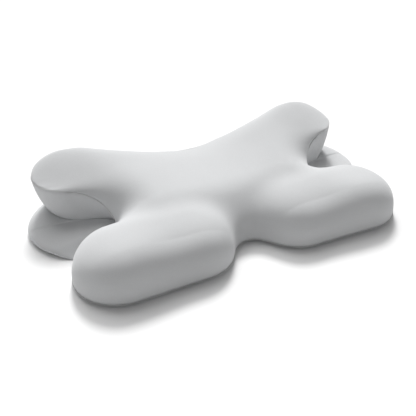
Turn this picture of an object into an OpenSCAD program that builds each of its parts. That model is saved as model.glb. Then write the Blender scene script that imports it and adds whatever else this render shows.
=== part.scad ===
// Butterfly-shaped cervical support pillow with a two-tier rear side.
// Origin: middle of the base on the floor. +X runs along the long axis, +Y towards the high
// two-tier side, +Z up. Millimetres. The left half is the mirror image of the right half.

/* [Front lobes] */
// Middle to the centre of a front lobe's tip, left to right
front_tip_x = 214; // [208:1:220]
// Middle to the centre of a front lobe's inner end
front_root_x = 97; // [91:1:103]
// Middle to the centre of a front lobe's tip, front to back
front_tip_y = 104; // [99:1:109]
// Middle to the inner end of a front lobe's centre line, front to back
front_root_y = 101; // [95:1:107]
// Half the front-to-back width of a front lobe
front_radius = 71; // [65:1:77]

/* [Rear lobes] */
// Middle to the centre of a rear lobe's tip, left to right
rear_tip_x = 233; // [226:1:240]
// Middle to the centre of a rear lobe's tip, front to back
rear_tip_y = 97; // [91:1:103]
// Middle to the inner end of a rear lobe's centre line, left to right
rear_root_x = 85; // [79:1:91]
// Middle to the inner end of a rear lobe's centre line, front to back
rear_root_y = 50; // [44:1:56]
// Half the width of a rear lobe
rear_radius = 55; // [49:1:61]

/* [Waist] */
// Half the width of the waist between the side notches
waist_half_x = 173; // [167:1:179]
// Half the depth of the waist between the front and rear notches
waist_half_y = 97; // [91:1:103]
// Corner radius of the waist
waist_corner = 60; // [45:1:70]
// How softly the front notch's corner is filled
front_notch_blend = 42; // [36:1:48]
// How softly the side and rear notches' corners are filled
side_notch_blend = 90; // [80:1:100]
// Half the width of the strip in which the two mirrored halves are smoothed into each other
mirror_blend = 40; // [30:1:50]

/* [Top] */
// Height of the top's middle line at the front edge of the dish
crown_front_mid = 74; // [68:1:80]
// Height at the middle of the dish
crown_mid = 81; // [75:1:87]
// Height of the top's middle line at the rear
crown_rear_mid = 82; // [80:1:88]
// Height of the front lobes
crown_front_side = 78; // [72:1:84]
// Height of the saddle between a front and a rear lobe
crown_mid_side = 96; // [90:1:102]
// Height the saddle falls to towards the lobes' tips
crown_mid_tip = 87; // [81:1:93]
// Height of the rear lobes
crown_rear_side = 113; // [107:1:119]
// Middle to where the side heights are fully reached
crown_side_x = 205; // [193:1:217]
// Height the front lobes lose towards their tips
tip_fall_front = 14; // [8:1:20]
// Height the rear lobes lose towards their tips
tip_fall_rear = 20; // [14:1:26]
// Width of the rounded margin of the top, front
top_margin = 75; // [69:1:81]
// Width of the rounded margin of the top, rear
top_margin_rear = 60; // [54:1:66]
// Fullness of the rounded margin, 2 is an ellipse
top_fullness = 2.8; // [2.5:0.1:3.2]
// How far the rear lobes' edge is drawn out towards the seam, 0 for none
edge_pinch = 0.3; // [0:0.05:0.6]

/* [Seam] */
// Height of the edge seam at the front lobes
seam_front = 12; // [10:1:15]
// Height of the edge seam at the rear lobes
seam_rear = 75; // [70:1:79]
// Where the edge seam starts to climb, front to back
seam_climb_start = -57; // [-63:1:-51]
// Where the edge seam reaches its rear height
seam_climb_end = 53; // [47:1:59]
// Radius of the edge seam's bead
edge_bead = 0.75; // [0.6:0.05:0.9]

/* [Lower tier] */
// Middle to the centre of a lower leaf's tip, left to right
leaf_tip_x = 220; // [214:1:226]
// Middle to the centre of a lower leaf's tip, front to back
leaf_tip_y = 53; // [47:1:59]
// Middle to the inner end of a lower leaf's centre line, left to right
leaf_root_x = 90; // [84:1:96]
// Middle to the inner end of a lower leaf's centre line, front to back
leaf_root_y = 40; // [34:1:46]
// Half the width of a lower leaf
leaf_radius = 92; // [86:1:98]
// Height of a lower leaf at the crease
leaf_height = 20; // [17:1:23]
// Height at which a lower leaf is widest
leaf_edge = 12; // [10:1:14]
// How far the base lies inside the outline at the front
toe_front = 14; // [12:1:18]
// How far the base lies inside the outline at the rear middle
toe_rear = 30; // [26:1:36]
// How far the crease lies inside the upper leaf's seam
slot_depth = 25; // [19:1:31]

/* [Fabric and foam] */
// Thickness of the cover fabric
cover_skin = 1.1; // [0.9:0.1:1.3]
// Thickness of the spacer fabric of the base
base_skin = 3; // [2.8:0.1:3.2]
// Thickness of the liner fabric
liner_skin = 0.6; // [0.5:0.1:0.7]

/* [Zip] */
// Length of the coils
zip_length = 400; // [360:10:420]
// Middle to the zip, front to back
zip_y = 20; // [18:1:22]
// Width of the window in the base
window_w = 15; // [14:1:16]
// Width of each tape
tape_w = 15; // [13:1:16]
// Length of the pull tab
tab_length = 22; // [18:1:24]

/* [Hidden] */

grey = [0.83, 0.84, 0.85];
shade_grey = [0.76, 0.77, 0.78];
foam_white = [0.93, 0.91, 0.84];
liner_white = [0.95, 0.95, 0.94];
zip_grey = [0.62, 0.63, 0.64];
metal_grey = [0.70, 0.71, 0.72];

// The sections stand on spokes that run out from one point on the middle line
hub_y = -22;
spokes = 72;
top_rows = 9;
under_rows = 5;
leaf_rows = 3;
toe_rows = 3;
side_rows = under_rows + leaf_rows + toe_rows;
bisections = 22;
farthest = 420;

// Front to back, where the margin changes width and the lower tier grows out of the side
margin_change_start = -40;
margin_change_end = 60;
leaf_grow_start = -34;
leaf_grow_end = -2;
toe_change = 70;
// Middle to where the saddle and the lobes start to fall, left to right
saddle_x = 120;
tip_start = 150;
leaf_blend = 45;

// Layers, each given as its distance inside the outer surface
layer_gap = 0.8;
floor_gap = 0.7;
cover_inside = cover_skin;
liner_outside = cover_inside + layer_gap;
liner_inside = liner_outside + liner_skin;
foam_outside = liner_inside + layer_gap;
liner_floor = base_skin + floor_gap;
foam_floor = liner_floor + liner_skin + floor_gap;
// Recess over the zip in the foam's and the liner's base, and how far inside the outline it starts
recess_lift = 3.3;
recess_in = 45;
// Half the gap between the two halves of a skin at the edge seam
seam_gap = 0.25;

// ---- plan outline -------------------------------------------------------------------------

function clamp01(t) = min(1, max(0, t));
function ease(a, b, t) = let (u = clamp01((t - a) / (b - a))) u * u * (3 - 2 * u);
function mix(a, b, t) = a + (b - a) * t;
function soft_min(a, b, k) = let (h = clamp01(0.5 + 0.5 * (b - a) / k)) mix(b, a, h) - k * h * (1 - h);

// Signed distance to a capsule from a to b
function capsule(p, a, b, r) =
    let (ab = b - a, h = clamp01(((p - a) * ab) / (ab * ab)))
    norm(p - a - ab * h) - r;

// Signed distance to a rectangle with rounded corners
function rounded(p, half, r) =
    let (qx = abs(p.x) - half.x + r, qy = abs(p.y) - half.y + r)
    min(max(qx, qy), 0) + norm([max(qx, 0), max(qy, 0)]) - r;

// Distance from the middle line, rounded off close to it
function fold(x) = abs(x) > mirror_blend ? abs(x) : (x * x / mirror_blend + mirror_blend) / 2;

// Outline seen from above, negative inside
function plan(p) =
    let (
        q = [fold(p.x), p.y],
        front = capsule(q, [front_root_x, -front_root_y], [front_tip_x, -front_tip_y], front_radius),
        rear = capsule(q, [rear_root_x, rear_root_y], [rear_tip_x, rear_tip_y], rear_radius),
        waist = rounded(q, [waist_half_x, waist_half_y], waist_corner)
    )
    soft_min(soft_min(front, waist, front_notch_blend), rear, side_notch_blend);

// Outline of the lower tier, negative inside
function lower_plan(p) =
    let (
        q = [fold(p.x), p.y],
        leaf = capsule(q, [leaf_root_x, leaf_root_y], [leaf_tip_x, leaf_tip_y], leaf_radius),
        toe = mix(toe_front, toe_rear, ease(0, toe_change, p.y))
    )
    soft_min(plan(p) + toe, leaf, leaf_blend);

function depth_of(p, lower) = lower ? -lower_plan(p) : -plan(p);

// Point on the floor plane at distance r along the spoke of angle a
function spoke(a, r) = [r * cos(a), hub_y + r * sin(a)];

// Distance from the hub, along angle a, to where the outline moved in by inset is met
function reach(a, inset, lower, lo = 0, hi = farthest, n = bisections) =
    let (m = (lo + hi) / 2)
    n == 0 ? m :
    depth_of(spoke(a, m), lower) > inset ? reach(a, inset, lower, m, hi, n - 1)
                                                  : reach(a, inset, lower, lo, m, n - 1);

// Spoke angles of the right half, from the front (-90) to the rear (+90). They are spread by
// arc length along the outline, and partly by angle, so notches and lobes get enough of them.
half_spokes = spokes / 2;
table_angles = [for (a = [-90:1.5:90]) a];
table_points = [for (a = table_angles) spoke(a, reach(a, 0, false))];
table_steps = [for (i = [1:len(table_points) - 1]) norm(table_points[i] - table_points[i - 1])];
arc_length = [for (i = 0, s = 0; i <= len(table_steps);
    s = s + (i < len(table_steps) ? table_steps[i] : 0), i = i + 1) s];
arc_total = arc_length[len(arc_length) - 1];
arc_share = 0.75;
function table_share(i) =
    arc_share * arc_length[i] / arc_total + (1 - arc_share) * (table_angles[i] + 90) / 180;
angle_table = [for (i = [0:len(table_angles) - 1]) [table_share(i), table_angles[i]]];
function right_angle(i) = lookup(i / half_spokes, angle_table);
angles = [for (i = [0:spokes - 1]) i <= half_spokes ? right_angle(i) : 180 - right_angle(spokes - i)];

// ---- sections -----------------------------------------------------------------------------

function place(a, r, z) = concat(spoke(a, r), z);

// Height of the top before its margin is rounded: a parabola front to back, one for the middle
// line and one for the sides
beyond = 1.3;
function through(y, front, mid, rear) =
    let (yf = -front_tip_y, yr = rear_tip_y, v = min(max(y, beyond * yf), beyond * yr))
    front * v * (v - yr) / (yf * (yf - yr)) + mid * (v - yf) * (v - yr) / (yf * yr)
    + rear * v * (v - yf) / (yr * (yr - yf));
function crown(p) =
    let (
        saddle = mix(crown_mid_side, crown_mid_tip, ease(saddle_x, crown_side_x, abs(p.x))),
        fall = mix(tip_fall_front, tip_fall_rear, ease(margin_change_start, margin_change_end, p.y))
    )
    mix(through(p.y, crown_front_mid, crown_mid, crown_rear_mid),
        through(p.y, crown_front_side, saddle, crown_rear_side),
        ease(0, crown_side_x, abs(p.x))) - fall * pow(max(abs(p.x) - tip_start, 0) / tip_start, 2);

// Quarter of a superellipse rising from 0 to 1
function bulge(t, n) = pow(1 - pow(1 - clamp01(t), n), 1 / n);

function seam_height(a, r) =
    mix(seam_front, seam_rear, ease(seam_climb_start, seam_climb_end, spoke(a, r).y));

// Height of the top: its margin is round at the front lobes and drawn out at the rear lobes
function top_height(p, seam) =
    let (
        margin = mix(top_margin, top_margin_rear, ease(margin_change_start, margin_change_end, p.y)),
        t = clamp01(-plan(p) / margin),
        pinch = edge_pinch * ease(seam_climb_start, seam_climb_end, p.y),
        share = mix(bulge(t, top_fullness), 1 - pow(1 - t, top_fullness), pinch)
    )
    seam + (crown(p) - seam) * share;

// Rings of the top's outer surface, from next to the middle out to the seam
outer_rings = [for (j = [1:top_rows]) [for (a = angles)
    let (
        outer = reach(a, 0, false),
        r = outer * (1 - pow(1 - j / top_rows, 2)),
        seam = seam_height(a, outer)
    )
    place(a, r, j == top_rows ? seam : top_height(spoke(a, r), seam))]];
outer_middle = place(0, 0, crown([0, hub_y]));

// Direction in which a line runs through b; the sharper it turns there, the shorter
function turn(a, b, c) = (b - a) / norm(b - a) + (c - b) / norm(c - b);

// Outward direction in plan at point i of a ring
function plan_outward(ring, i) =
    let (
        along = turn(ring[(i + spokes - 1) % spokes], ring[i], ring[(i + 1) % spokes])
    )
    [along.y, -along.x, 0] / norm([along.x, along.y]);

// Plan point moved in towards the hub, in proportion to its distance from it, so that surfaces
// moved in by different amounts never meet
mean_radius = 200;
function drawn_in(p, inset) = [p.x, p.y - hub_y, 0] * (1 - inset / mean_radius) + [0, hub_y, p.z];

// Rings of the top moved in by inset, the last one raised by lift
function top_rings(inset, lift) = [for (j = [0:top_rows - 1]) [for (p = outer_rings[j])
    drawn_in(p, inset) + [0, 0, j < top_rows - 1 ? -inset : lift]]];
function top_middle(inset) = outer_middle - [0, 0, inset];

// How fully a spoke shows the lower tier, 0 at the front lobes and 1 at the leaves
function leaf_share(a) = ease(leaf_grow_start, leaf_grow_end, spoke(a, reach(a, 0, true)).y);

// Radii and heights of one side section:
// [seam radius, seam height, crease radius, crease height, leaf radius, leaf edge height, base radius].
// Where no lower tier shows, the wall is plain and its crease lies part of the way down it.
crease_way = 0.5;
crease_in = 16;
crease_round = 6;
crease_low = 9.5;
edge_low = 7;
crease_below_seam = 2.5;
base_in_by = [6, 13];
function section(a) =
    let (
        share = leaf_share(a),
        outer = reach(a, 0, false),
        leaf_r = reach(a, 0, true),
        slot_r = soft_min(reach(a, slot_depth, false), reach(a, crease_in, true), crease_round),
        seam_z = seam_height(a, outer)
    )
    [outer, seam_z, mix(mix(outer, leaf_r, crease_way), slot_r, share),
        min(mix(crease_low, leaf_height, share), seam_z - crease_below_seam), leaf_r,
        mix(edge_low, leaf_edge, share), reach(a, mix(base_in_by[0], base_in_by[1], share), true)];

// Rings of the side, from the seam under the upper leaf, out over the lower leaf and in to the base.
// Each stretch is part of an ellipse between these angles.
under_start = 23;
under_end = 70;
leaf_start = 20;
function side_point(a, s, j) =
    j <= under_rows ?
        let (from = under_start * leaf_share(a), t = mix(from, under_end, j / under_rows))
        place(a, mix(s[0], s[2], (cos(from) - cos(t)) / (cos(from) - cos(under_end))),
            mix(s[1], s[3], (sin(t) - sin(from)) / (sin(under_end) - sin(from)))) :
    j <= under_rows + leaf_rows ?
        let (t = mix(leaf_start, 90, (j - under_rows) / leaf_rows))
        place(a, mix(s[2], s[4], (sin(t) - sin(leaf_start)) / (1 - sin(leaf_start))),
            mix(s[5], s[3], cos(t) / cos(leaf_start))) :
        let (t = 90 * (j - under_rows - leaf_rows) / toe_rows)
        place(a, mix(s[6], s[4], cos(t)), s[5] * (1 - sin(t)));
side_sections = [for (a = angles) section(a)];
side_outer = [for (j = [0:side_rows])
    [for (i = [0:spokes - 1]) side_point(angles[i], side_sections[i], j)]];

// Rings of the side moved in by inset and standing on floor_z, the first one lowered by drop.
// The ledge of the lower tier is lowered as well, and no two rings are level.
ledge_drop = 0.8;
least_step = 0.1;
function ring_drop(j, i, inset) =
    j <= under_rows || j >= under_rows + leaf_rows ? 0 : ledge_drop * inset * leaf_share(angles[i]);
function side_rings(inset, floor_z, drop) = [for (j = [0:side_rows]) [for (i = [0:spokes - 1])
    let (p = drawn_in(side_outer[j][i], inset))
    [p.x, p.y, j == 0 ? p.z - drop :
        max(p.z - ring_drop(j, i, inset), floor_z + least_step * (side_rows - j))]]];

// Outline of the base, moved in by inset
base_line = side_outer[side_rows];
function base_ring(inset) =
    [for (i = [0:spokes - 1]) base_line[i] - inset * plan_outward(base_line, i)];

// Edge of the recess over the zip: the lower tier's outline moved in, less grow
function recess_ring(grow, z) = [for (a = angles) place(a, reach(a, recess_in - grow, true), z)];

function flip(list) = [for (i = [len(list) - 1:-1:0]) list[i]];

// ---- skins --------------------------------------------------------------------------------

no_band = [1, 0];

// Band of triangles between two rings; a turned band has its diagonals the other way round, so
// that the inner face of a skin folds along the same lines as its outer face
function band(upper, lower, n, turned) = [for (i = [0:n - 1])
    let (a = upper * n + i, b = upper * n + (i + 1) % n, c = lower * n + (i + 1) % n, d = lower * n + i)
    each turned ? [[a, b, d], [b, c, d]] : [[a, b, c], [a, c, d]]];

// Closed skin: a first point, rings of points one below the other, and a last point. Its turned
// bands are those from the first to the last number given.
module capped_skin(first, rings, last, turned) {
    n = len(rings[0]);
    m = len(rings);
    points = concat([for (ring = rings) each ring], [first, last]);
    faces = concat(
        [for (i = [0:n - 1]) [m * n, (i + 1) % n, i]],
        [for (j = [0:m - 2]) each band(j, j + 1, n, j >= turned[0] && j <= turned[1])],
        [for (i = [0:n - 1]) [(m - 1) * n + i, (m - 1) * n + (i + 1) % n, m * n + 1]]);
    polyhedron(points, faces);
}

// Closed skin that runs round like a tyre: the last ring meets the first
module looped_skin(rings, turned) {
    n = len(rings[0]);
    m = len(rings);
    points = [for (ring = rings) each ring];
    polyhedron(points,
        [for (j = [0:m - 1]) each band(j, (j + 1) % m, n, j >= turned[0] && j <= turned[1])]);
}

// Bead that follows a ring of points
module bead(line, r) {
    looped_skin([for (k = [0:5]) [for (i = [0:spokes - 1])
        line[i] + r * (sin(60 * k) * plan_outward(line, i) + [0, 0, cos(60 * k)])]], no_band);
}

// ---- foam and liner -----------------------------------------------------------------------

module foam_core() color(foam_white) {
    sides = side_rings(foam_outside, foam_floor, 0);
    capped_skin(top_middle(foam_outside),
        concat(top_rings(foam_outside, -seam_gap), [for (j = [1:len(sides) - 1]) sides[j]],
            [recess_ring(1.2, foam_floor), recess_ring(1.2, foam_floor + recess_lift)]),
        [0, hub_y, foam_floor + recess_lift], no_band);
}

module liner_top_half() color(liner_white)
    capped_skin(top_middle(liner_outside),
        concat(top_rings(liner_outside, seam_gap), flip(top_rings(liner_inside, seam_gap))),
        top_middle(liner_inside), [top_rows, 2 * top_rows]);

module liner_bottom_half() color(liner_white) {
    outer = side_rings(liner_outside, liner_floor, seam_gap);
    inner = side_rings(liner_inside, liner_floor + liner_skin, seam_gap);
    high = liner_floor + recess_lift;
    capped_skin([0, hub_y, high + liner_skin],
        concat(
            [recess_ring(liner_skin, high + liner_skin), recess_ring(liner_skin, liner_floor + liner_skin)],
            flip(inner), outer,
            [recess_ring(0, liner_floor), recess_ring(0, high)]),
        [0, hub_y, high], [2, 1 + side_rows]);
}

// ---- cover --------------------------------------------------------------------------------

module cover_top_panel() color(grey)
    capped_skin(top_middle(0),
        concat(top_rings(0, seam_gap), flip(top_rings(cover_inside, seam_gap))),
        top_middle(cover_inside), [top_rows, 2 * top_rows]);

module cover_side_panel() color(shade_grey)
    looped_skin(concat(side_rings(0, 0, seam_gap), flip(side_rings(cover_inside, base_skin, seam_gap))),
        [side_rows + 1, 2 * side_rows]);

base_bead = 0.75;
base_joint = 2 * base_bead + 2.3;
module cover_base_panel() color(grey)
    linear_extrude(base_skin) difference() {
        polygon([for (p = base_ring(base_joint)) [p.x, p.y]]);
        translate([-zip_length / 2 - 8, zip_y - window_w / 2]) square([zip_length + 16, window_w]);
        for (side = [-1, 1])
            translate([side * (zip_length / 2 + 8), zip_y]) circle(d = window_w, $fn = 48);
    }

module edge_seam() color(shade_grey)
    bead([for (i = [0:spokes - 1])
        side_outer[0][i] + (edge_bead + 0.2) * plan_outward(side_outer[0], i)], edge_bead);

module base_seam() color(shade_grey)
    bead([for (p = base_ring(base_joint / 2)) p + [0, 0, base_bead + 0.3]], base_bead);

// ---- zip ----------------------------------------------------------------------------------

tape_thick = 0.6;
tape_z = base_skin + 0.05;
coil_gap = 1.3;
coil_w = 1.9;
coil_h = 1.7;
coil_z = tape_z + tape_thick + 0.1;
stop_length = 3;

module tape(side) color(zip_grey)
    translate([-zip_length / 2 - 12, zip_y + (side < 0 ? -coil_gap / 2 - tape_w : coil_gap / 2), tape_z])
        cube([zip_length + 24, tape_w, tape_thick]);

module coil(side) color(zip_grey)
    translate([-zip_length / 2, zip_y + (side < 0 ? -coil_gap / 2 - coil_w : coil_gap / 2), coil_z])
        cube([zip_length, coil_w, coil_h]);

module zip_tape_front() tape(-1);
module zip_tape_rear() tape(1);
module zip_coil_front() coil(-1);
module zip_coil_rear() coil(1);

// Crimped metal stop, rounded across the zip
module stop(x) color(metal_grey)
    translate([x, zip_y, coil_z]) rotate([90, 0, 90]) linear_extrude(stop_length) {
        translate([-2.2, 0]) square([4.4, coil_h + 0.3]);
        for (side = [-1, 1]) translate([side * 2.2, (coil_h + 0.3) / 2]) circle(d = coil_h + 0.3, $fn = 32);
    }
module zip_top_stop() stop(zip_length / 2 + 0.4);
module zip_bottom_stop() stop(-zip_length / 2 - 0.4 - stop_length);

slider_x = zip_length / 2 - 7;
slider_length = 10;
slider_w = 7.2;
plate = 0.9;
low_plate_z = 2;
high_plate_z = coil_z + coil_h + 0.25;
hinge_z = 1.4;
pin_r = 0.45;
bail_w = 1.6;
bail_wire = 0.65;

// Slider plate, round at both ends
module slider_plate(z) translate([0, 0, z]) linear_extrude(plate) intersection() {
    square([slider_length, slider_w], center = true);
    circle(d = slider_length + 1, $fn = 64);
}

// Loop that holds the pull tab, drawn from the side and given its width
module bail() {
    span = 7;
    bottom = hinge_z - pin_r - 0.1 - bail_wire;
    translate([0, bail_w / 2, 0]) rotate([90, 0, 0]) linear_extrude(bail_w) difference() {
        translate([-span / 2, bottom]) square([span, low_plate_z + 0.1 - bottom]);
        translate([-span / 2 + 1, bottom + bail_wire]) square([span - 2, low_plate_z - bottom - bail_wire]);
    }
}

module zip_slider() color(metal_grey) translate([slider_x, zip_y, 0]) {
    slider_plate(low_plate_z);
    slider_plate(high_plate_z);
    translate([2.6, 0, low_plate_z]) linear_extrude(high_plate_z - low_plate_z + plate)
        square([2.4, 1], center = true);
    for (side = [-1, 1]) translate([-3, side * (slider_w / 2 - 0.3) - 0.3, high_plate_z - 1.4])
        cube([6, 0.6, 1.4 + plate / 2]);
    bail();
}

// Pull tab with a square eye; its round end bar turns in the slider's loop
eye_length = 4.6;
eye_w = 2.6;
arm_w = 1.2;
tab_thick = 0.9;
module zip_pull() color(metal_grey) translate([slider_x, zip_y, hinge_z]) {
    translate([0, eye_w / 2 + arm_w, 0]) rotate([90, 0, 0])
        cylinder(r = pin_r, h = eye_w + 2 * arm_w, $fn = 32);
    translate([0, 0, -tab_thick / 2]) linear_extrude(tab_thick) {
        for (side = [-1, 1]) translate([-eye_length - 0.4, side * (eye_w + arm_w) / 2 - arm_w / 2])
            square([eye_length + 0.4, arm_w]);
        difference() {
            translate([-tab_length, -eye_w / 2 - arm_w])
                square([tab_length - eye_length, eye_w + 2 * arm_w]);
            translate([-tab_length + 4, 0]) circle(d = 2.2, $fn = 32);
        }
    }
}

foam_core();
liner_top_half();
liner_bottom_half();
cover_top_panel();
cover_side_panel();
cover_base_panel();
edge_seam();
base_seam();
zip_tape_front();
zip_tape_rear();
zip_coil_front();
zip_coil_rear();
zip_top_stop();
zip_bottom_stop();
zip_slider();
zip_pull();
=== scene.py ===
"""Butterfly-shaped cervical support pillow: the looks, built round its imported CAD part.

The soft skins follow the same rules as the CAD part: spokes run out from a hub on the middle
line, and each spoke carries one section of the pillow. Work is done in millimetres on numpy
grids, and every point is scaled into the CAD box, in metres, when its mesh is made.
"""
import math

import bmesh
import bpy
import numpy as np
from mathutils import Matrix, Vector


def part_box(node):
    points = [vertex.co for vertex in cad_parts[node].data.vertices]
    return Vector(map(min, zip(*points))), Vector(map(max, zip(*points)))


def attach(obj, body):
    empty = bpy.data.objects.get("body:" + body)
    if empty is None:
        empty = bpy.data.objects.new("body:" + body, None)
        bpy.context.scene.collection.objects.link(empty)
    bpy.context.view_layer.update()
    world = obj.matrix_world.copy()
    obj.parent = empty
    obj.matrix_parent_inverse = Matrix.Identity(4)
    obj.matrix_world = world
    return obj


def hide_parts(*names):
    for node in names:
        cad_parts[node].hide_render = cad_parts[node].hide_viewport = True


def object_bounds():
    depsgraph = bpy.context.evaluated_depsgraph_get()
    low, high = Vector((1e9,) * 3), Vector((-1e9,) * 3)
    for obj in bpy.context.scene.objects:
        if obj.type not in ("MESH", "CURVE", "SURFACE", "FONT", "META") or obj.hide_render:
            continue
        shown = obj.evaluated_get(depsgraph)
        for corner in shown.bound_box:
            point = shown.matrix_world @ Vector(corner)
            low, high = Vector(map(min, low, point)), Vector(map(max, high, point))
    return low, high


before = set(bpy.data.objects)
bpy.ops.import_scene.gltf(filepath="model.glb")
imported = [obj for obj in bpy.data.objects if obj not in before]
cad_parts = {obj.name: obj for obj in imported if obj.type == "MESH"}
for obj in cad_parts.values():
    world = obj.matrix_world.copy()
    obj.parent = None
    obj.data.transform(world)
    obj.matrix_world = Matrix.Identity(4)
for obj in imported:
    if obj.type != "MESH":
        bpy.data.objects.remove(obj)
cad_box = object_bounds()
MM = 0.001

# ---- driving dimensions in millimetres, the same rules as the CAD part ---------------------------

FRONT_TIP = (214, -104)             # centre of a front lobe's tip, right half
FRONT_ROOT = (97, -101)             # inner end of a front lobe's centre line
FRONT_RADIUS = 71
REAR_TIP = (233, 97)
REAR_ROOT = (85, 50)
REAR_RADIUS = 55
WAIST = (173, 97)                   # half the width and half the depth between the notches
WAIST_CORNER = 60
FRONT_NOTCH_BLEND = 42
SIDE_NOTCH_BLEND = 66
MIRROR_BLEND = 40
HUB_Y = -22

CROWN_MIDDLE = (74, 81, 79)         # height along the middle line: front, middle, rear
CROWN_SIDE = (78, 96, 113)          # height through the lobes: front, saddle, rear
CROWN_SIDE_X = 205
MARGIN = (75, 60)                   # width of the top's rounded margin, front and rear
MARGIN_CHANGE = (-40, 60)           # front to back, where it changes
FULLNESS = 2.8
PINCH = 0.15                        # how far the rear lobes' edge is drawn out towards the seam
SADDLE_X = 120                      # middle to where the saddle starts to fall
SADDLE_TIP = 87                     # height it falls to towards the tips
TIP_FALL = (14, 20)                 # height the lobes lose towards their tips, front and rear
TIP_START = 150                     # middle to where they start to fall

SEAM_HEIGHT = (7, 75)               # height of the edge seam at the front and rear lobes
TIP_LIFT = 10                       # how much higher it lies at the rear lobes' tips
TIP_LIFT_X = (90, 300)              # middle to where it starts and ends to rise to them
SEAM_CLIMB = (-57, 53)              # front to back, where it climbs

LEAF_TIP = (220, 53)                # lower leaf
LEAF_ROOT = (90, 40)
LEAF_RADIUS = 92
LEAF_HEIGHT = 26
LEAF_EDGE = 9
LEAF_START = (-34, -2)              # front to back, where the lower tier grows out of the side
TOE = (14, 30)                      # how far the base lies inside the outline, front and rear
TOE_CHANGE = (0, 70)
SLOT_DEPTH = 25
UNDER_START = 23                    # the skin leaves the rear edge seam at this angle from upright
UNDER_END = 70
LEAF_ANGLE = 20

COVER_SKIN = 1.1
BASE_SKIN = 3.0
BASE_JOINT = 2.3                    # gap between the side skin and the base panel, for their seam
STAND_OFF = 1.3                     # how far the side skin stands off the layers under it
LINER_SKIN = 0.6
LINER_OUTSIDE = 4.6                 # the liner and the foam lie this far inside the cover's face
LINER_INSIDE = 5.2
FOAM_INSET = 7.5
LINER_FLOOR = 3.7                   # heights they stand at
FOAM_FLOOR = 5.0
MEAN_RADIUS = 200                   # layers are drawn in towards the hub, fully at this radius

ZIP_Y = sum(c.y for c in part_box("zip_bottom_stop")) / 2 / MM
ZIP_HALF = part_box("zip_coil_front")[1].x / MM
RECESS_IN = 45                      # the recess over the zip starts this far inside the lower outline
RECESS_LIFT = 3.3
TAPE_W = 15
WINDOW_W = 15
WINDOW_MORE = 10                    # the window runs this far past the zip, for the pull
TAPE_Z = 3.05
TAPE_THICK = 0.6

# ---- grid densities -----------------------------------------------------------------------------

TOP_RINGS = 104                     # the top is a square grid laid over the outline, ring by ring
RIM = 8 * TOP_RINGS                 # points round the edge seam
UNDER_ROWS = 26
LEAF_ROWS = 16
TOE_ROWS = 8
RING_POWER = 2.2                    # crowds the rings towards the edge seam
SOFT_RINGS = 60                     # the same for the foam and the liner
SOFT_ROWS = (16, 10, 5)


# ---- small maths --------------------------------------------------------------------------------

def clamp01(t):
    return np.clip(t, 0.0, 1.0)


def ease(start, end, t):
    u = clamp01((t - start) / (end - start))
    return u * u * (3 - 2 * u)


def mix(a, b, t):
    return a + (b - a) * t


def soft_min(a, b, k):
    h = clamp01(0.5 + 0.5 * (b - a) / k)
    return mix(b, a, h) - k * h * (1 - h)


def capsule(x, y, start, end, radius):
    """Signed distance to a round-ended bar seen from above."""
    ax, ay = start
    bx, by = end[0] - ax, end[1] - ay
    h = clamp01(((x - ax) * bx + (y - ay) * by) / (bx * bx + by * by))
    return np.hypot(x - ax - bx * h, y - ay - by * h) - radius


def rounded(x, y, half, radius):
    """Signed distance to a rectangle with rounded corners."""
    qx = np.abs(x) - half[0] + radius
    qy = np.abs(y) - half[1] + radius
    return np.minimum(np.maximum(qx, qy), 0) + np.hypot(np.maximum(qx, 0), np.maximum(qy, 0)) - radius


# ---- outline and heights ------------------------------------------------------------------------

def fold(x):
    """Distance from the middle line, rounded off close to it."""
    near = (x * x / MIRROR_BLEND + MIRROR_BLEND) / 2
    return np.where(np.abs(x) > MIRROR_BLEND, np.abs(x), near)


def plan(x, y):
    """Outline of the pillow seen from above, negative inside."""
    q = fold(x)
    front = capsule(q, y, FRONT_ROOT, FRONT_TIP, FRONT_RADIUS)
    rear = capsule(q, y, REAR_ROOT, REAR_TIP, REAR_RADIUS)
    waist = rounded(q, y, WAIST, WAIST_CORNER)
    return soft_min(soft_min(front, waist, FRONT_NOTCH_BLEND), rear, SIDE_NOTCH_BLEND)


def lower_plan(x, y):
    """Outline of the lower tier, negative inside."""
    leaf = capsule(fold(x), y, LEAF_ROOT, LEAF_TIP, LEAF_RADIUS)
    toe = mix(TOE[0], TOE[1], ease(*TOE_CHANGE, y))
    return soft_min(plan(x, y) + toe, leaf, 20)


def reach(angle, inset=0.0, outline=plan):
    """Distance from the hub to where the outline, moved in by inset, is met."""
    low = np.zeros_like(angle)
    high = np.full_like(angle, 420.0)
    for _ in range(30):
        middle = (low + high) / 2
        inside = -outline(middle * np.cos(angle), HUB_Y + middle * np.sin(angle)) > inset
        low = np.where(inside, middle, low)
        high = np.where(inside, high, middle)
    return (low + high) / 2


def through(y, front, middle, rear):
    """Parabola front to back through three heights."""
    yf, yr = FRONT_TIP[1], REAR_TIP[1]
    v = np.clip(y, 1.3 * yf, 1.3 * yr)
    return (front * v * (v - yr) / (yf * (yf - yr)) + middle * (v - yf) * (v - yr) / (yf * yr)
            + rear * v * (v - yf) / (yr * (yr - yf)))


def crown(x, y):
    """Height of the top before its margin is rounded."""
    front, saddle, rear = CROWN_SIDE
    saddle = mix(saddle, SADDLE_TIP, ease(SADDLE_X, CROWN_SIDE_X, np.abs(x)))
    level = mix(through(y, *CROWN_MIDDLE), through(y, front, saddle, rear), ease(0, CROWN_SIDE_X, np.abs(x)))
    fall = mix(TIP_FALL[0], TIP_FALL[1], ease(*MARGIN_CHANGE, y))
    return level - fall * (np.maximum(np.abs(x) - TIP_START, 0) / TIP_START) ** 2


def bulge(t, n):
    return (1 - (1 - clamp01(t)) ** n) ** (1 / n)


def seam_height(x, y):
    """Height of the edge seam: it climbs from front to rear and on to the rear lobes' tips."""
    climb = ease(*SEAM_CLIMB, y)
    return mix(SEAM_HEIGHT[0], SEAM_HEIGHT[1], climb) + TIP_LIFT * climb * ease(*TIP_LIFT_X, np.abs(x))


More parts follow.
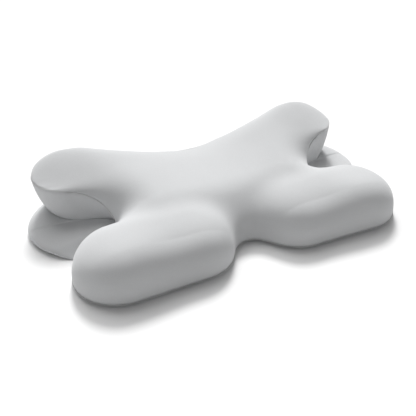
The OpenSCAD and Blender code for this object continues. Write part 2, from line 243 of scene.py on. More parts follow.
def arc_table():
    """Share of the outline's length covered at each angle, from the front middle to the rear."""
    angle = np.radians(np.linspace(-90, 90, 1441))
    r = reach(angle)
    x, y = r * np.cos(angle), r * np.sin(angle)
    steps = np.hypot(np.diff(x), np.diff(y))
    length = np.concatenate([[0], np.cumsum(steps)])
    even = np.linspace(0, 1, len(angle))
    return 0.8 * length / length[-1] + 0.2 * even, angle


ARC_SHARE, ARC_ANGLE = arc_table()


def angle_at(share):
    """Angle of a spoke given its share of the way round, starting at the front middle."""
    right = share <= 0.5
    u = np.where(right, share, 1 - share) * 2
    angle = np.interp(u, ARC_SHARE, ARC_ANGLE)
    return np.where(right, angle, np.pi - angle)


# ---- point grids --------------------------------------------------------------------------------

def square_grid(rings):
    """Ring number (0 to 1) and share of the way round for each point of a square grid."""
    side = np.arange(-rings, rings + 1)
    i, j = np.meshgrid(side, side, indexing="ij")
    k = np.maximum(np.abs(i), np.abs(j))
    count = np.maximum(8 * k, 1)
    share = np.select(
        [(j == -k) & (i >= 0), i == k, j == k, i == -k],
        [i, 2 * k + j, 4 * k - i, 6 * k - j],
        8 * k + i)
    return k / rings, share / count


def ring_of(share_count):
    """Shares of the way round for the points of one ring."""
    return np.arange(share_count) / share_count


def drawn_in(x, y, inset):
    """Plan points moved in towards the hub in proportion to their distance from it."""
    scale = 1 - inset / MEAN_RADIUS
    return x * scale, HUB_Y + (y - HUB_Y) * scale


def top_points(inset=0.0, lift=0.0, rings=TOP_RINGS):
    """Square grid of points on the top, moved in by inset; its rim is the edge seam."""
    t, share = square_grid(rings)
    angle = angle_at(share)
    outer = reach(angle)
    r = outer * (1 - (1 - t) ** RING_POWER)
    x, y = r * np.cos(angle), HUB_Y + r * np.sin(angle)
    seam = seam_height(x, y)
    margin = mix(MARGIN[0], MARGIN[1], ease(*MARGIN_CHANGE, y))
    depth = clamp01(np.where(t == 1, 0, -plan(x, y)) / margin)
    pinch = PINCH * ease(*SEAM_CLIMB, y)
    rise = mix(bulge(depth, FULLNESS), 1 - (1 - depth) ** FULLNESS, pinch)
    z = seam + (crown(x, y) - seam) * rise + np.where(t == 1, lift, -inset * clamp01(8 * (1 - t)))
    return np.stack([*drawn_in(x, y, inset), z], -1)


def outer_side(count, rows):
    """Radii and heights of the side: in under the edge seam, out over the lower leaf, in to the base."""
    angle = angle_at(ring_of(count))
    outer = reach(angle)
    leaf_r = reach(angle, 0, lower_plan)
    share = ease(*LEAF_START, HUB_Y + leaf_r * np.sin(angle))
    seam_z = seam_height(outer * np.cos(angle), HUB_Y + outer * np.sin(angle))
    crease_r = soft_min(outer - mix(TOE[0], SLOT_DEPTH, share), leaf_r - mix(1.5, 16, share), 6)
    crease_z = mix(1.6, LEAF_HEIGHT, share)
    edge_z = mix(0.8, LEAF_EDGE, share)
    base_r = reach(angle, mix(2, 13, share), lower_plan)
    under, leaf, toe = rows
    start = np.radians(UNDER_START) * share
    turn = math.radians(UNDER_END)
    t = start + (turn - start) * np.linspace(0, 1, under + 1)[:, None]
    r1 = mix(outer, crease_r, (np.cos(start) - np.cos(t)) / (np.cos(start) - math.cos(turn)))
    z1 = mix(seam_z, crease_z, (np.sin(t) - np.sin(start)) / (math.sin(turn) - np.sin(start)))
    start = math.radians(LEAF_ANGLE)
    t = np.linspace(start, math.pi / 2, leaf + 1)[1:, None]
    r2 = mix(crease_r, leaf_r, (np.sin(t) - math.sin(start)) / (1 - math.sin(start)))
    z2 = mix(edge_z, crease_z, np.cos(t) / math.cos(start))
    t = np.linspace(0, math.pi / 2, toe + 1)[1:, None]
    r3 = mix(base_r, leaf_r, np.cos(t))
    z3 = mix(edge_z, 0, np.sin(t))
    ledge = np.concatenate([np.zeros(under + 1), np.linspace(1, 0, leaf + 1)[1:] > 0, np.zeros(toe)])
    return angle, np.concatenate([r1, r2, r3]), np.concatenate([z1, z2, z3]), ledge[:, None] * share


def side_points(inset=0.0, floor=0.0, drop=0.0, count=RIM, rows=(UNDER_ROWS, LEAF_ROWS, TOE_ROWS)):
    """Rows of points on the side, moved in by inset and standing on floor."""
    angle, r, z, ledge = outer_side(count, rows)
    if inset:
        steps = 0.02 * np.arange(len(r))[::-1, None]
        low = np.maximum(z - 0.8 * inset * ledge, floor + steps)
        for k in range(count):
            r[:, k] = np.minimum(r[:, k], np.interp(low[:, k], z[::-1, k], r[::-1, k].copy()))
        z = low
    z[0] -= drop
    x, y = drawn_in(r * np.cos(angle), HUB_Y + r * np.sin(angle), inset)
    return np.stack([x, y, z], -1)


# ---- meshes -------------------------------------------------------------------------------------

def grid_faces(rows, columns, closed):
    """Quads of a grid of points numbered row by row; a closed grid's last column meets its first."""
    i = np.arange(rows - 1)[:, None]
    j = np.arange(columns if closed else columns - 1)[None, :]
    k = (j + 1) % columns
    quads = [i * columns + j, i * columns + k, (i + 1) * columns + k, (i + 1) * columns + j]
    return np.stack(np.broadcast_arrays(*quads), -1).reshape(-1, 4)


def grid_rim(rows, columns):
    """Point numbers round the edge of an open grid, in order."""
    front = np.arange(columns - 1)
    right = np.arange(rows - 1) * columns + columns - 1
    rear = (rows - 1) * columns + np.arange(columns - 1, 0, -1)
    left = np.arange(rows - 1, 0, -1) * columns
    return np.concatenate([front, right, rear, left])


def strip_faces(a, b):
    """Quads between two closed lines of point numbers."""
    return np.stack([a, np.roll(a, -1), np.roll(b, -1), b], -1)


def grid_normals(points, closed=False):
    """Outward normals of a grid of points, found from its neighbours."""
    if closed:
        along = np.roll(points, -1, 1) - np.roll(points, 1, 1)
    else:
        along = np.gradient(points, axis=1)
    normals = np.cross(np.gradient(points, axis=0), along)
    return normals / (np.linalg.norm(normals, axis=-1, keepdims=True) + 1e-9)


def own_box():
    """Box of the pillow's own outline, the lowest and highest x, y and z in millimetres."""
    points = np.concatenate([top_points().reshape(-1, 3), side_points().reshape(-1, 3)])
    return points.min(0), points.max(0)


def cad_scale():
    """How the formulas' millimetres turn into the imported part's metres."""
    low, high = own_box()
    boxes = [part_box("cover_top_panel"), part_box("cover_side_panel")]
    cad_low = np.min([b[0] for b in boxes], 0)
    cad_high = np.max([b[1] for b in boxes], 0)
    scale = (cad_high - cad_low) / (high - low)
    return scale, cad_low - low * scale


SCALE, OFFSET = cad_scale()


def to_metres(points):
    return np.asarray(points).reshape(-1, 3) * SCALE + OFFSET


def make_mesh(name, points, faces, smooth=True):
    """Object in the row frame from points in millimetres, its faces turned outwards."""
    mesh = bpy.data.meshes.new(name)
    mesh.from_pydata(to_metres(points).tolist(), [], [f for part in faces for f in part.tolist()])
    shell = bmesh.new()
    shell.from_mesh(mesh)
    bmesh.ops.recalc_face_normals(shell, faces=shell.faces)
    shell.to_mesh(mesh)
    shell.free()
    mesh.polygons.foreach_set("use_smooth", [smooth] * len(mesh.polygons))
    obj = bpy.data.objects.new(name, mesh)
    bpy.context.scene.collection.objects.link(obj)
    return obj


def open_sheet(name, outer, inner):
    """Closed skin between two equal open grids."""
    rows, columns = outer.shape[:2]
    count = rows * columns
    faces = grid_faces(rows, columns, False)
    rim = grid_rim(rows, columns)
    points = np.concatenate([outer.reshape(-1, 3), inner.reshape(-1, 3)])
    return make_mesh(name, points, [faces, faces[:, ::-1] + count, strip_faces(rim, rim + count)])


def ring_sheet(name, outer, inner):
    """Closed skin between two equal grids that run round, open above and below."""
    rows, columns = outer.shape[:2]
    count = rows * columns
    faces = grid_faces(rows, columns, True)
    first = np.arange(columns)
    last = first + (rows - 1) * columns
    points = np.concatenate([outer.reshape(-1, 3), inner.reshape(-1, 3)])
    return make_mesh(name, points, [faces, faces[:, ::-1] + count, strip_faces(first, first + count),
                                    strip_faces(last, last + count)])


def tube(name, centre, radius, sides):
    """Closed cord along a ring of points; radius has one value for each point and side."""
    along = np.roll(centre, -1, 0) - np.roll(centre, 1, 0)
    along /= np.linalg.norm(along, axis=1, keepdims=True)
    across = np.cross(along, [0, 0, 1.0])
    across /= np.linalg.norm(across, axis=1, keepdims=True)
    up = np.cross(across, along)
    turn = np.arange(sides) * 2 * np.pi / sides
    points = (centre[:, None] + radius[..., None] * (across[:, None] * np.cos(turn)[None, :, None]
                                                     + up[:, None] * np.sin(turn)[None, :, None]))
    count = len(centre)
    i = np.arange(count)[:, None] * sides
    j = np.arange(sides)[None, :]
    k = (j + 1) % sides
    n = (i + sides) % (count * sides)
    quads = np.stack(np.broadcast_arrays(i + j, i + k, n + k, n + j), -1).reshape(-1, 4)
    return make_mesh(name, points, [quads])


def finish_piece(obj, node, material, body="cushion"):
    """Puts a piece on its body in place of a CAD node, with its finish."""
    obj.data.materials.clear()
    obj.data.materials.append(material)
    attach(obj, body)
    if node:
        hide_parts(node)
    return obj


# ---- sewing -------------------------------------------------------------------------------------

def waves(share, low, high, count, seed):
    """Even-sized random ripple round a closed line, from waves that fit its length."""
    rng = np.random.default_rng(seed)
    total = np.zeros_like(share)
    for cycles, phase in zip(rng.integers(low, high, count), rng.uniform(0, 2 * np.pi, count)):
        total += np.sin(2 * np.pi * cycles * share + phase)
    return total / math.sqrt(count / 2)


def pucker(share, distance, height, seed):
    """How far fabric next to the edge seam stands proud or sinks in."""
    strength = 0.55 + 0.45 * waves(share, 4, 14, 5, seed + 1)
    fine = waves(share, 170, 300, 9, seed)
    broad = waves(share, 60, 110, 6, seed + 2)
    swell = np.exp(-distance / 5.0) * fine + 0.6 * np.exp(-distance / 14.0) * broad
    return height * clamp01(strength) * swell


def seam_dip(distance):
    """Fabric rolls in where it is drawn down by the stitches."""
    return -0.6 * np.exp(-(distance / 1.4) ** 2)


def slow_waves(points, seed):
    """Faint unevenness of fabric over foam, millimetres."""
    rng = np.random.default_rng(seed)
    total = np.zeros(points.shape[:-1])
    for _ in range(10):
        direction = rng.normal(size=3)
        direction /= np.linalg.norm(direction)
        wavelength = rng.uniform(55, 130)
        total += np.sin(points @ direction * 2 * np.pi / wavelength + rng.uniform(0, 2 * np.pi))
    return 0.12 * total / math.sqrt(5)


# ---- pieces -------------------------------------------------------------------------------------

def build_top(material):
    outer = top_points()
    inner = top_points(COVER_SKIN)
    _, share = square_grid(TOP_RINGS)
    angle = angle_at(share)
    edge = reach(angle)
    seam = seam_height(edge * np.cos(angle), HUB_Y + edge * np.sin(angle))
    r = np.hypot(outer[..., 0], outer[..., 1] - HUB_Y)
    distance = np.hypot(edge - r, outer[..., 2] - seam)
    lift = pucker(share, distance, 0.3, 11) + seam_dip(distance) + slow_waves(outer, 5)
    move = grid_normals(outer) * lift[..., None]
    obj = open_sheet("cover_top", outer + move, inner + move)
    return finish_piece(obj, "cover_top_panel", material)


def build_side(material):
    outer = side_points()
    inner = side_points(COVER_SKIN, COVER_SKIN)
    share = ring_of(RIM)[None, :]
    distance = np.linalg.norm(outer - outer[:1], axis=-1)
    fade = np.ones(len(outer))
    fade[-TOE_ROWS:] = np.linspace(1, 0, TOE_ROWS)
    lift = pucker(np.broadcast_to(share, distance.shape), distance, 0.35, 11) + seam_dip(distance)
    lift = lift + slow_waves(outer, 5) + STAND_OFF * (1 - np.exp(-distance / 6))
    lift = lift * fade[:, None]
    move = grid_normals(outer, True) * lift[..., None]
    obj = ring_sheet("cover_side", outer + move, inner + move)
    return finish_piece(obj, "cover_side_panel", material)


def seam_line(count, out):
    """Closed line along the edge seam, moved out by a distance."""
    angle = angle_at(ring_of(count))
    outer = reach(angle)
    r = outer + out
    return np.stack([r * np.cos(angle), HUB_Y + r * np.sin(angle),
                     seam_height(outer * np.cos(angle), HUB_Y + outer * np.sin(angle))], -1)


def twisted(count, sides, radius, strands, turns):
    """Radius of a cord twisted from a few strands."""
    along = np.arange(count)[:, None] * 2 * np.pi * turns / count
    around = np.arange(sides)[None, :] * 2 * np.pi / sides
    return radius * (1 + 0.16 * np.cos(strands * around + along))


def build_edge_seam(material):
    count, sides = 3600, 9
    centre = seam_line(count, 0.1)
    obj = tube("edge_seam_cord", centre, twisted(count, sides, 0.62, 2, 620), sides)
    return finish_piece(obj, "edge_seam", material)


def base_line(inset, count=RIM):
    """Closed line of points on the outline of the base."""
    angle = angle_at(ring_of(count))
    leaf_y = HUB_Y + reach(angle, 0, lower_plan) * np.sin(angle)
    r = reach(angle, mix(2, 13, ease(*LEAF_START, leaf_y)), lower_plan) - inset
    return np.stack([r * np.cos(angle), HUB_Y + r * np.sin(angle), np.zeros(count)], -1)


def build_base_seam(material):
    count, sides = 3200, 8
    centre = base_line(BASE_JOINT / 2, count) + [0, 0, 0.95]
    obj = tube("base_seam_cord", centre, twisted(count, sides, 0.72, 2, 540), sides)
    return finish_piece(obj, "base_seam", material)


def window_line(line, radius):
    """Ring on the round-ended window in the base, facing the ring of points given."""
    x, y = line[:, 0], line[:, 1] - ZIP_Y
    length = np.hypot(x, y)
    ux, uy = x / length, y / length
    half = ZIP_HALF + WINDOW_MORE
    flat = radius / np.maximum(np.abs(uy), 1e-6)
    under = np.maximum(radius ** 2 - (uy * half) ** 2, 0)
    round_end = np.abs(ux) * half + np.sqrt(under)
    t = np.where(flat * np.abs(ux) <= half, flat, round_end)
    return np.stack([t * ux, ZIP_Y + t * uy, np.zeros(len(line))], -1)


def build_base(material):
    """Flat spacer-fabric panel with rolled edges and a window for the zip."""
    outline = base_line(BASE_JOINT)
    window = window_line(outline, WINDOW_W / 2)
    span = np.linalg.norm(outline - window, axis=-1)
    roll = 0.9
    near = np.array([0, 0.12, 0.45, 1.0]) * roll
    steps = np.linspace(0, 1, 34)[1:-1]
    rows = ([outline + (window - outline) * (d / span)[:, None] for d in near]
            + [mix(outline + (window - outline) * (roll / span)[:, None],
                   window + (outline - window) * (roll / span)[:, None], s) for s in steps]
            + [window + (outline - window) * (d / span)[:, None] for d in near[::-1]])
    grid = np.stack(rows)
    depth = np.concatenate([near, np.full(len(steps), roll), near[::-1]])[:, None]
    curve = roll - np.sqrt(roll ** 2 - (roll - depth) ** 2)
    low, high = grid.copy(), grid.copy()
    low[..., 2] = curve
    high[..., 2] = BASE_SKIN - curve
    obj = ring_sheet("base_panel", low, high)
    return finish_piece(obj, "cover_base_panel", material)


def build_tape(side, material):
    """Woven tape with a thick selvedge, slightly wavy along its sewn edge."""
    node = "zip_tape_front" if side < 0 else "zip_tape_rear"
    x = np.linspace(-ZIP_HALF - 12, ZIP_HALF + 12, 426)
    v = np.linspace(0, 1, 16)
    across = ZIP_Y + side * (0.65 + TAPE_W * v)
    gx, gy = np.meshgrid(x, across, indexing="ij")
    weave = 0.05 * np.sin(gx * 2 * np.pi / 2.2)
    bead = 0.12 * np.exp(-((v - 0.93) / 0.05) ** 2) + 0.1 * np.exp(-((v - 0.08) / 0.06) ** 2)
    wave = 0.12 * v ** 2 * np.sin(gx * 2 * np.pi / 37 + side)
    low = np.stack([gx, gy, TAPE_Z + 0.1 - weave * 0.5 - bead + wave], -1)
    high = np.stack([gx, gy, TAPE_Z + TAPE_THICK - 0.1 + weave * 0.5 + bead + wave], -1)
    obj = open_sheet(node + "_woven", low, high)
    return finish_piece(obj, node, material)


def build_coil(side, material):
    """Nylon coil: one loop of monofilament for each tooth, flattened and hooked at the head."""
    node = "zip_coil_front" if side < 0 else "zip_coil_rear"
    pitch, per_loop, sides = 1.5, 16, 6
    loops = int(2 * ZIP_HALF / pitch)
    step = np.arange(loops * per_loop + 1)
    turn = 2 * np.pi * step / per_loop
    x = -ZIP_HALF + 0.6 + pitch * step / per_loop + (0.25 * pitch if side > 0 else 0)
    x = np.minimum(x, ZIP_HALF - 0.2)
    y = ZIP_Y + side * (1.55 - 0.78 * np.sign(np.cos(turn)) * np.abs(np.cos(turn)) ** 0.7)
    z = 4.6 + 0.58 * np.sin(turn)
    centre = np.stack([x, y, z], -1)
    along = np.gradient(centre, axis=0)
    along /= np.linalg.norm(along, axis=1, keepdims=True)
    first = np.cross(along, [1.0, 0, 0])
    first /= np.linalg.norm(first, axis=1, keepdims=True)
    second = np.cross(along, first)
    a = np.arange(sides) * 2 * np.pi / sides
    wire = 0.27
    ring = centre[:, None] + wire * (first[:, None] * np.cos(a)[None, :, None]
                                     + second[:, None] * np.sin(a)[None, :, None])
    count = len(centre)
    faces = grid_faces(count, sides, True)
    ends = np.arange(sides)[None, :]
    obj = make_mesh(node + "_loops", ring, [faces, ends, ends + (count - 1) * sides])
    return finish_piece(obj, node, material)


def recess_ring(count, grow, z):
    """Edge of the recess over the zip: the lower outline moved in, less grow."""
    angle = angle_at(ring_of(count))
    r = reach(angle, RECESS_IN - grow, lower_plan)
    return np.stack([r * np.cos(angle), HUB_Y + r * np.sin(angle), np.full(count, z)], -1)


def centre_ring(count, z):
    """Small ring round the hub that ends a floor."""
    angle = angle_at(ring_of(count))
    return np.stack([2 * np.cos(angle), HUB_Y + 2 * np.sin(angle), np.full(count, z)], -1)


def build_foam(material):
    """Foam block with a shallow recess for the zip in its base."""
    count = 8 * SOFT_RINGS
    top = top_points(FOAM_INSET, 0, SOFT_RINGS)
    side = side_points(FOAM_INSET, FOAM_FLOOR, 0, count, SOFT_ROWS)
    high = FOAM_FLOOR + RECESS_LIFT
    rings = np.concatenate([side[1:]] + [recess_ring(count, grow, z)[None]
                                         for grow, z in ((1.2, FOAM_FLOOR), (1.2, high))])
    rows, columns = top.shape[:2]
    start = rows // 2
    rim = np.roll(grid_rim(rows, columns)[::-1], 1)
    rim = np.roll(rim, -int(np.argmax(rim == start * columns)))
    first = rows * columns
    last = first + (len(rings) - 1) * count + np.arange(count)
    body = grid_faces(len(rings), count, True) + first
    middle = first + len(rings) * count
    cap = np.stack([last, np.roll(last, -1), np.full(count, middle)], -1)
    points = np.concatenate([top.reshape(-1, 3), rings.reshape(-1, 3), [[0, HUB_Y, high]]])
    faces = [grid_faces(rows, columns, False), strip_faces(rim, first + np.arange(count)), body, cap]
    obj = make_mesh("foam_block", points, faces)
    return finish_piece(obj, "foam_core", material)


def build_liner(material):
    """Thin jersey liner in two halves under the cover."""
    top = open_sheet("liner_top", top_points(LINER_OUTSIDE, 0.2, SOFT_RINGS),
                     top_points(LINER_INSIDE, 0.2, SOFT_RINGS))
    finish_piece(top, "liner_top_half", material)
    count = 8 * SOFT_RINGS
    outer = side_points(LINER_OUTSIDE, LINER_FLOOR, 0.2, count, SOFT_ROWS)
    inner = side_points(LINER_INSIDE, LINER_FLOOR + LINER_SKIN, 0.2, count, SOFT_ROWS)
    high = LINER_FLOOR + RECESS_LIFT
    outer = np.concatenate([outer, recess_ring(count, 0, LINER_FLOOR)[None],
                            recess_ring(count, 0, high)[None], centre_ring(count, high)[None]])
    low, high = LINER_FLOOR + LINER_SKIN, high + LINER_SKIN
    inner = np.concatenate([inner, recess_ring(count, LINER_SKIN, low)[None],
                            recess_ring(count, LINER_SKIN, high)[None], centre_ring(count, high)[None]])
    bottom = ring_sheet("liner_bottom", outer, inner)
    finish_piece(bottom, "liner_bottom_half", material)


# ---- materials ----------------------------------------------------------------------------------

class Nodes:
    """Short way to build a node material."""

    def __init__(self, name):
        self.material = bpy.data.materials.new(name)
        self.material.use_nodes = True
        self.tree = self.material.node_tree
        self.shader = self.tree.nodes["Principled BSDF"]

    def add(self, kind, inputs=None, **settings):
        node = self.tree.nodes.new("ShaderNode" + kind)
        for key, value in settings.items():
            setattr(node, key, value)
        for key, value in (inputs or {}).items():
            self.set(node.inputs[key], value)
        return node

    def set(self, socket, value):
        if isinstance(value, bpy.types.NodeSocket):
            self.tree.links.new(value, socket)
        else:
            socket.default_value = value

    def math(self, operation, a, b=0.0):
        node = self.add("Math", operation=operation)
        self.set(node.inputs[0], a)
        self.set(node.inputs[1], b)
        return node.outputs[0]

    def place(self):
        return self.add("TexCoord").outputs["Object"]

    def noise(self, scale, detail=3.0, roughness=0.55):
        node = self.add("TexNoise", {"Vector": self.place(), "Scale": scale, "Detail": detail,
                                     "Roughness": roughness})
        return node.outputs["Fac"]

    def ramp(self, value, stops):
        node = self.add("ValToRGB", {"Fac": value})
        band = node.color_ramp.elements
        while len(band) < len(stops):
            band.new(0.5)
        for element, (position, colour) in zip(band, stops):
            element.position = position
            element.color = (*colour, 1)
        return node.outputs["Color"]

    def bump(self, height, distance, strength=1.0, under=None):
        inputs = {"Height": height, "Distance": distance, "Strength": strength}
        if under is not None:
            inputs["Normal"] = under
        return self.add("Bump", inputs).outputs["Normal"]

    def finish(self, **values):
        for key, value in values.items():
            self.set(self.shader.inputs[key.replace("_", " ")], value)
        return self.material


def grey(level, warmth=0.0):
    return (level * (1 + warmth), level, level * (1 - warmth))


def shade(n, base, spread, value):
    """Colour that wanders a little round its base."""
    low = tuple(c * (1 - spread) for c in base)
    high = tuple(c * (1 + spread) for c in base)
    return n.ramp(value, [(0.3, low), (0.7, high)])


def knit(n, pitch):
    """Fine jersey: rows of small loops, drawn on the three main planes and mixed by direction."""
    place = n.add("SeparateXYZ", {"Vector": n.place()})
    facing = n.add("SeparateXYZ", {"Vector": n.add("NewGeometry").outputs["True Normal"]})
    total = None
    for u, v, w in (("X", "Y", "Z"), ("X", "Z", "Y"), ("Y", "Z", "X")):
        column = n.math("MULTIPLY", place.outputs[u], 2 * math.pi / pitch)
        row = n.math("MULTIPLY", place.outputs[v], 2 * math.pi / (0.8 * pitch))
        legs = n.math("ABSOLUTE", n.math("SINE", n.math("MULTIPLY", column, 0.5)))
        slant = n.math("MULTIPLY", legs, 2.6)
        loops = n.math("SINE", n.math("ADD", row, slant))
        height = n.math("MULTIPLY", n.math("ADD", loops, 1.4), n.math("ADD", legs, 0.4))
        weight = n.math("POWER", n.math("ABSOLUTE", facing.outputs[w]), 4.0)
        part = n.math("MULTIPLY", height, weight)
        total = part if total is None else n.math("ADD", total, part)
    return total


def cover_material(name, level, pitch):
    n = Nodes(name)
    loops = knit(n, pitch)
    broad = n.noise(14.0, 2.0)
    grain = n.noise(620.0, 2.0, 0.7)
    tone = n.math("ADD", n.math("MULTIPLY", broad, 0.35), n.math("MULTIPLY", grain, 0.65))
    colour = shade(n, grey(level, -0.012), 0.035, tone)
    fluff = n.bump(grain, 0.00022, 0.5)
    normal = n.bump(loops, 0.00007, 0.45, fluff)
    return n.finish(Base_Color=colour, Roughness=0.88, Normal=normal, Sheen_Weight=0.35,
                    Sheen_Roughness=0.35, Sheen_Tint=(1, 1, 1, 1), Specular_IOR_Level=0.25)


def spacer_material():
    n = Nodes("spacer_mesh")
    cells = n.add("TexVoronoi", {"Vector": n.place(), "Scale": 310.0, "Randomness": 0.12},
                  feature="DISTANCE_TO_EDGE").outputs["Distance"]
    shaded_holes = n.add("MapRange", {"Value": cells, "From Min": 0.08, "From Max": 0.3}).outputs["Result"]
    wander = n.noise(20.0, 2.0)
    # painted shade: the sunken mesh holes are coloured darker than the raised threads around them
    colour = n.ramp(shaded_holes, [(0.0, grey(0.62)), (1.0, grey(0.33))])
    mixed = n.add("Mix", {0: 0.12, 6: colour, 7: n.ramp(wander, [(0.3, grey(0.4)), (0.7, grey(0.75))])},
                  data_type="RGBA")
    normal = n.bump(n.math("SUBTRACT", 1.0, shaded_holes), 0.0009, 0.8)
    return n.finish(Base_Color=mixed.outputs[2], Roughness=0.85, Normal=normal, Sheen_Weight=0.2)


def thread_material():
    n = Nodes("seam_thread")
    fibre = n.noise(2600.0, 2.0, 0.7)
    colour = shade(n, grey(0.6), 0.06, n.noise(60.0))
    return n.finish(Base_Color=colour, Roughness=0.6, Normal=n.bump(fibre, 0.00008, 0.5),
                    Sheen_Weight=0.3, Sheen_Roughness=0.4)


def tape_material():
    n = Nodes("zip_tape_weave")
    place = n.add("SeparateXYZ", {"Vector": n.place()})
    warp = n.math("SINE", n.math("MULTIPLY", n.math("ADD", place.outputs["X"], place.outputs["Y"]), 9000.0))
    weft = n.math("SINE", n.math("MULTIPLY", n.math("SUBTRACT", place.outputs["X"], place.outputs["Y"]),
                                 9000.0))
    weave = n.math("MAXIMUM", warp, weft)
    colour = shade(n, grey(0.42), 0.07, n.noise(90.0))
    return n.finish(Base_Color=colour, Roughness=0.7, Normal=n.bump(weave, 0.00012, 0.6),
                    Sheen_Weight=0.25)


def coil_material():
    n = Nodes("coil_nylon")
    colour = shade(n, grey(0.45), 0.05, n.noise(200.0))
    scuff = n.add("MapRange", {"Value": n.noise(900.0, 4.0, 0.7), "To Min": 0.28, "To Max": 0.5})
    return n.finish(Base_Color=colour, Roughness=scuff.outputs["Result"], Subsurface_Weight=0.1,
                    Normal=n.bump(n.noise(1500.0), 0.00003, 0.3))


def metal_material():
    """Grey lacquer over cast zinc, rubbed bright along its edges."""
    n = Nodes("lacquered_zinc")
    soft = n.add("Bevel", {"Radius": 0.00035}, samples=6).outputs["Normal"]
    hard = n.add("NewGeometry").outputs["Normal"]
    meeting = n.add("VectorMath", {0: soft, 1: hard}, operation="DOT_PRODUCT").outputs["Value"]
    scratch = n.add("TexNoise", {"Vector": n.add("Mapping", {"Vector": n.place(), "Scale": (1.0, 9.0, 1.0)})
                    .outputs["Vector"], "Scale": 900.0, "Detail": 4.0}).outputs["Fac"]
    edge = n.math("MULTIPLY", n.math("SUBTRACT", 1.0, meeting), n.math("ADD", scratch, 0.3))
    worn = n.add("MapRange", {"Value": edge, "From Min": 0.04, "From Max": 0.16}).outputs["Result"]
    colour = n.ramp(worn, [(0.0, grey(0.36)), (1.0, grey(0.62))])
    rough = n.add("MapRange", {"Value": scratch, "To Min": 0.22, "To Max": 0.42}).outputs["Result"]
    return n.finish(Base_Color=colour, Metallic=n.math("ADD", n.math("MULTIPLY", worn, 0.5), 0.45),
                    Roughness=rough, Normal=n.bump(scratch, 0.00002, 0.4, soft))


def foam_material():
    n = Nodes("open_cell_foam")
    cells = n.add("TexVoronoi", {"Vector": n.place(), "Scale": 900.0}).outputs["Distance"]
    colour = shade(n, (0.86, 0.82, 0.68), 0.05, n.noise(30.0))
    return n.finish(Base_Color=colour, Roughness=0.9, Subsurface_Weight=0.2, Subsurface_Scale=0.002,
                    Normal=n.bump(cells, 0.0005, 0.7))


def liner_material():
    n = Nodes("liner_jersey")
    colour = shade(n, grey(0.82), 0.03, n.noise(40.0))
    return n.finish(Base_Color=colour, Roughness=0.85, Normal=n.bump(knit(n, 0.0012), 0.00008, 0.5),
                    Sheen_Weight=0.2)


def floor_material():
    n = Nodes("studio_floor")
    colour = shade(n, grey(0.93), 0.004, n.noise(3.0))
    return n.finish(Base_Color=colour, Roughness=0.85, Specular_IOR_Level=0.1)


# ---- build --------------------------------------------------------------------------------------

knitted = cover_material("cover_knit", 0.66, 0.0011)
build_top(knitted)
build_side(knitted)
build_edge_seam(thread_material())
build_base_seam(bpy.data.materials["seam_thread"])
build_base(spacer_material())
weave = tape_material()
nylon = coil_material()
for side in (-1, 1):
    build_tape(side, weave)
    build_coil(side, nylon)
build_foam(foam_material())
build_liner(liner_material())

zinc = metal_material()
for name in ("zip_top_stop", "zip_bottom_stop", "zip_slider", "zip_pull"):
    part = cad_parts[name]
    part.data.materials.clear()
    part.data.materials.append(zinc)
    edges = part.modifiers.new("soft_edges", "BEVEL")
    edges.width = 0.00012
    edges.segments = 2
    edges.limit_method = "ANGLE"


# ---- studio -------------------------------------------------------------------------------------

AMBIENT = 0.245                     # light from the white all round
SUNS = (("key", 155, 44, 2.4, 14),  # name, azimuth, height, strength and softness in degrees
        ("back", 175, 55, 1.45, 45))
CAMERA_AZIMUTH = -26.4
CAMERA_HEIGHT = 32.5
CAMERA_FOCAL = 55.817               # millimetres on a 36 mm sensor
CAMERA_DISTANCE = 1.066
CAMERA_TARGET = (-0.0360, -0.0430, 0.0400)


def direction(azimuth, height):
    """Unit vector from the object towards a place seen at this azimuth and height in degrees."""
    a, e = math.radians(azimuth), math.radians(height)
    return Vector((math.sin(a) * math.cos(e), -math.cos(a) * math.cos(e), math.sin(e)))


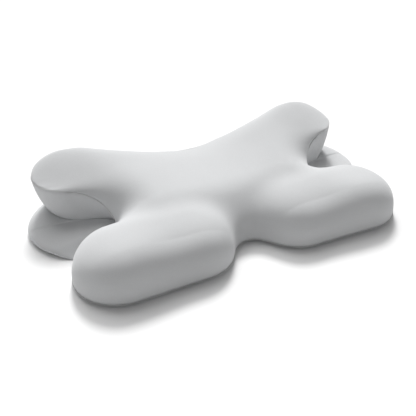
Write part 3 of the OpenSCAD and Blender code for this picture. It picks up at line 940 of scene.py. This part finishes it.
def add_sun(name, azimuth, height, strength, softness):
    light = bpy.data.lights.new(name, "SUN")
    light.energy = strength
    light.angle = math.radians(softness)
    obj = bpy.data.objects.new(name, light)
    obj.rotation_euler = direction(azimuth, height).to_track_quat("Z", "Y").to_euler()
    bpy.context.scene.collection.objects.link(obj)


def add_floor():
    rings = [0.0, 0.6, 1.2, 2.5, 5.0, 9.0]
    points = [(0.0, 0.0, 0.0)]
    around = 48
    for r in rings[1:]:
        points += [(r * math.cos(2 * math.pi * k / around), r * math.sin(2 * math.pi * k / around), 0.0)
                   for k in range(around)]
    faces = [(0, 1 + k, 1 + (k + 1) % around) for k in range(around)]
    for ring in range(len(rings) - 2):
        a, b = 1 + ring * around, 1 + (ring + 1) * around
        faces += [(a + k, b + k, b + (k + 1) % around, a + (k + 1) % around) for k in range(around)]
    mesh = bpy.data.meshes.new("studio_floor")
    mesh.from_pydata(points, [], faces)
    floor = bpy.data.objects.new("studio_floor", mesh)
    floor.data.materials.append(floor_material())
    floor.location.z = cad_box[0][2] - 0.0002
    bpy.context.scene.collection.objects.link(floor)


def set_world():
    """White behind everything, but only a little light from it."""
    world = bpy.data.worlds.new("studio")
    bpy.context.scene.world = world
    world.use_nodes = True
    tree = world.node_tree
    background = tree.nodes["Background"]
    rays = tree.nodes.new("ShaderNodeLightPath")
    strength = tree.nodes.new("ShaderNodeMapRange")
    tree.links.new(rays.outputs["Is Camera Ray"], strength.inputs["Value"])
    strength.inputs["To Min"].default_value = AMBIENT
    strength.inputs["To Max"].default_value = 1.0
    tree.links.new(strength.outputs["Result"], background.inputs["Strength"])
    background.inputs["Color"].default_value = (1, 1, 1, 1)


def add_camera():
    lens = bpy.data.cameras.new("camera")
    lens.lens = CAMERA_FOCAL
    lens.sensor_width = 36
    camera = bpy.data.objects.new("camera", lens)
    back = direction(CAMERA_AZIMUTH, CAMERA_HEIGHT)
    camera.location = Vector(CAMERA_TARGET) + back * CAMERA_DISTANCE
    camera.rotation_euler = back.to_track_quat("Z", "Y").to_euler()
    bpy.context.scene.collection.objects.link(camera)
    bpy.context.scene.camera = camera


for sun in SUNS:
    add_sun(*sun)
add_floor()
set_world()
add_camera()
bpy.context.scene.view_settings.view_transform = "Standard"
